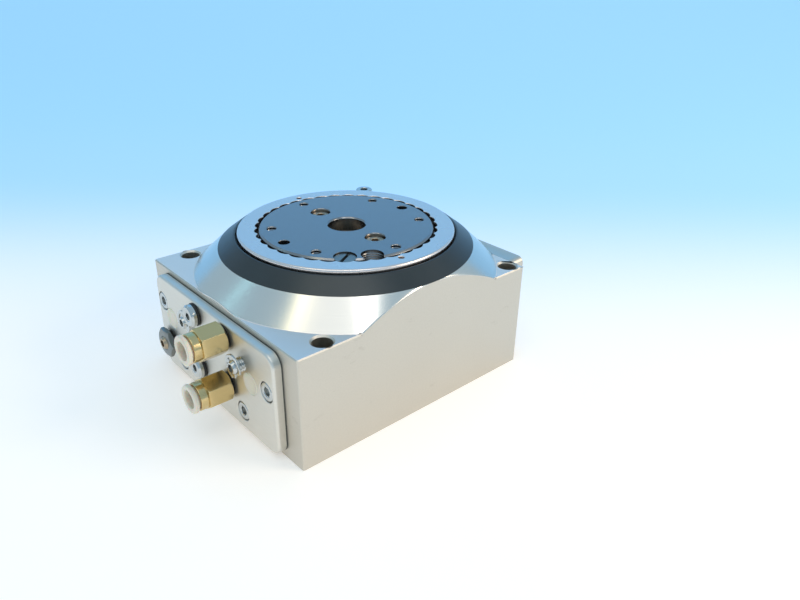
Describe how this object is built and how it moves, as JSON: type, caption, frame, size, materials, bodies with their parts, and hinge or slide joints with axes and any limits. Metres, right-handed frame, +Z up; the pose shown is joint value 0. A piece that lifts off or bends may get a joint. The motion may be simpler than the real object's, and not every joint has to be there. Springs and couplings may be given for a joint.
{
  "type": "pneumatic rotary indexing table",
  "caption": "Air-driven rotary indexing table: square block with a coned top, a turning load disc in a scalloped setting ring, and a port plate with push-in tube fittings.",
  "frame": {"origin": "where the table's axis meets the mounting face", "axes": "+Z up along the table's axis; -X out of the port face; the cylinders run along X"},
  "size_m": [0.1253, 0.092, 0.0543],
  "materials": {
    "block": "fine-milled, satin",
    "cover_black": "black anodised, satin",
    "ring_aluminium": "turned, satin anodised",
    "disc_steel": "ground",
    "hub_steel": "turned",
    "bearing_steel": "ground and polished",
    "screw_steel": "zinc plated",
    "dark_steel": "black oxide",
    "brass": "turned, bright",
    "bronze": "sintered",
    "ivory_plastic": "moulded",
    "seal_rubber": "moulded",
    "gasket_grey": "sheet"
  },
  "bodies": {
    "base": {"housing": "block", "base_cover": "block", "base_cover_screws": "dark_steel", "cover_ring": "cover_black", "dust_seal": "seal_rubber", "bearing_clamp_ring": "hub_steel", "clamp_ring_screws": "dark_steel", "bearing_outer_ring": "bearing_steel", "port_plate": "block", "port_gasket": "gasket_grey", "port_plate_screws": "screw_steel", "port_plugs": "screw_steel", "port_plug_seals": "seal_rubber", "fitting_bodies": "brass", "fitting_seals": "seal_rubber", "tube_seals": "seal_rubber", "bore_caps": "ivory_plastic", "stop_screw": "bronze", "stop_nut": "dark_steel", "stop_nut_seal": "seal_rubber", "end_cover": "block", "end_cover_gasket": "gasket_grey", "end_cover_screws": "screw_steel", "corner_screw": "screw_steel", "end_bumpers": "seal_rubber", "lower_bush": "bronze", "locking_bush": "bronze"},
    "table": {"load_disc": "disc_steel", "setting_ring": "ring_aluminium", "table_hub": "hub_steel", "bearing_inner_ring": "bearing_steel", "index_wheel": "hub_steel", "index_wheel_screws": "dark_steel", "load_disc_screws": "bronze", "pilot_bush": "bronze", "centre_bush": "bronze"},
    "key": {"key_screw": "dark_steel"},
    "rollers": {"bearing_rollers": "bearing_steel"},
    "drive": {"drive_shaft": "hub_steel", "pawl_carrier": "hub_steel", "pawl_pin": "screw_steel", "carrier_clip": "dark_steel"},
    "pawl": {"ratchet_pawl": "dark_steel"},
    "front_rack_piston": {"front_rack": "hub_steel", "front_rack_seals": "seal_rubber"},
    "rear_rack_piston": {"rear_rack": "hub_steel", "rear_rack_seals": "seal_rubber"},
    "lock": {"locking_bolt": "bearing_steel"},
    "right_flow": {"right_flow_screw": "screw_steel", "right_flow_clip": "dark_steel"},
    "left_flow": {"left_flow_screw": "screw_steel", "left_flow_clip": "dark_steel"},
    "upper_release": {"upper_release_ring": "ivory_plastic"},
    "lower_release": {"lower_release_ring": "ivory_plastic"}
  },
  "joints": [
    {"name": "table_turn", "type": "hinge", "parent": "base", "child": "table", "pos_m": [0, 0, 0.05], "axis": [0, 0, 1], "continuous": true},
    {"name": "roller_orbit", "type": "hinge", "parent": "base", "child": "rollers", "pos_m": [0, 0, 0.04], "axis": [0, 0, 1], "continuous": true},
    {"name": "key_screw_turn", "type": "hinge", "parent": "table", "child": "key", "pos_m": [-0.01819, -0.02246, 0.052], "axis": [0, 0, 1], "continuous": true},
    {"name": "drive_swing", "type": "hinge", "parent": "base", "child": "drive", "pos_m": [0, 0, 0.02], "axis": [0, 0, 1], "range_deg": [0, 180]},
    {"name": "pawl_hinge", "type": "hinge", "parent": "drive", "child": "pawl", "pos_m": [0.0089, 0, 0.033], "axis": [0, 0, -1], "range_deg": [0, 8], "stiffness_Nm_per_rad": 0.01},
    {"name": "front_rack_slide", "type": "slide", "parent": "base", "child": "front_rack_piston", "axis": [1, 0, 0], "range_m": [0, 0.02513]},
    {"name": "rear_rack_slide", "type": "slide", "parent": "base", "child": "rear_rack_piston", "axis": [-1, 0, 0], "range_m": [0, 0.02514]},
    {"name": "locking_bolt_slide", "type": "slide", "parent": "base", "child": "lock", "axis": [0, 0, 1], "range_m": [0, 0.0026]},
    {"name": "right_flow_turn", "type": "hinge", "parent": "base", "child": "right_flow", "pos_m": [-0.0574, -0.0195, 0.0277], "axis": [-1, 0, 0], "range_deg": [-180, 180]},
    {"name": "left_flow_turn", "type": "hinge", "parent": "base", "child": "left_flow", "pos_m": [-0.0574, 0.0173, 0.0272], "axis": [-1, 0, 0], "range_deg": [-180, 180]},
    {"name": "upper_release_push", "type": "slide", "parent": "base", "child": "upper_release", "axis": [1, 0, 0], "range_m": [0, 0.0006], "stiffness_N_per_m": 400},
    {"name": "lower_release_push", "type": "slide", "parent": "base", "child": "lower_release", "axis": [1, 0, 0], "range_m": [0, 0.0006], "stiffness_N_per_m": 400}
  ],
  "couplings": [
    {"joint": "roller_orbit", "follows": "table_turn", "ratio": 0.5},
    {"joint": "drive_swing", "follows": "front_rack_slide", "rad_per_m": 125},
    {"joint": "rear_rack_slide", "follows": "front_rack_slide", "ratio": 1}
  ]
}
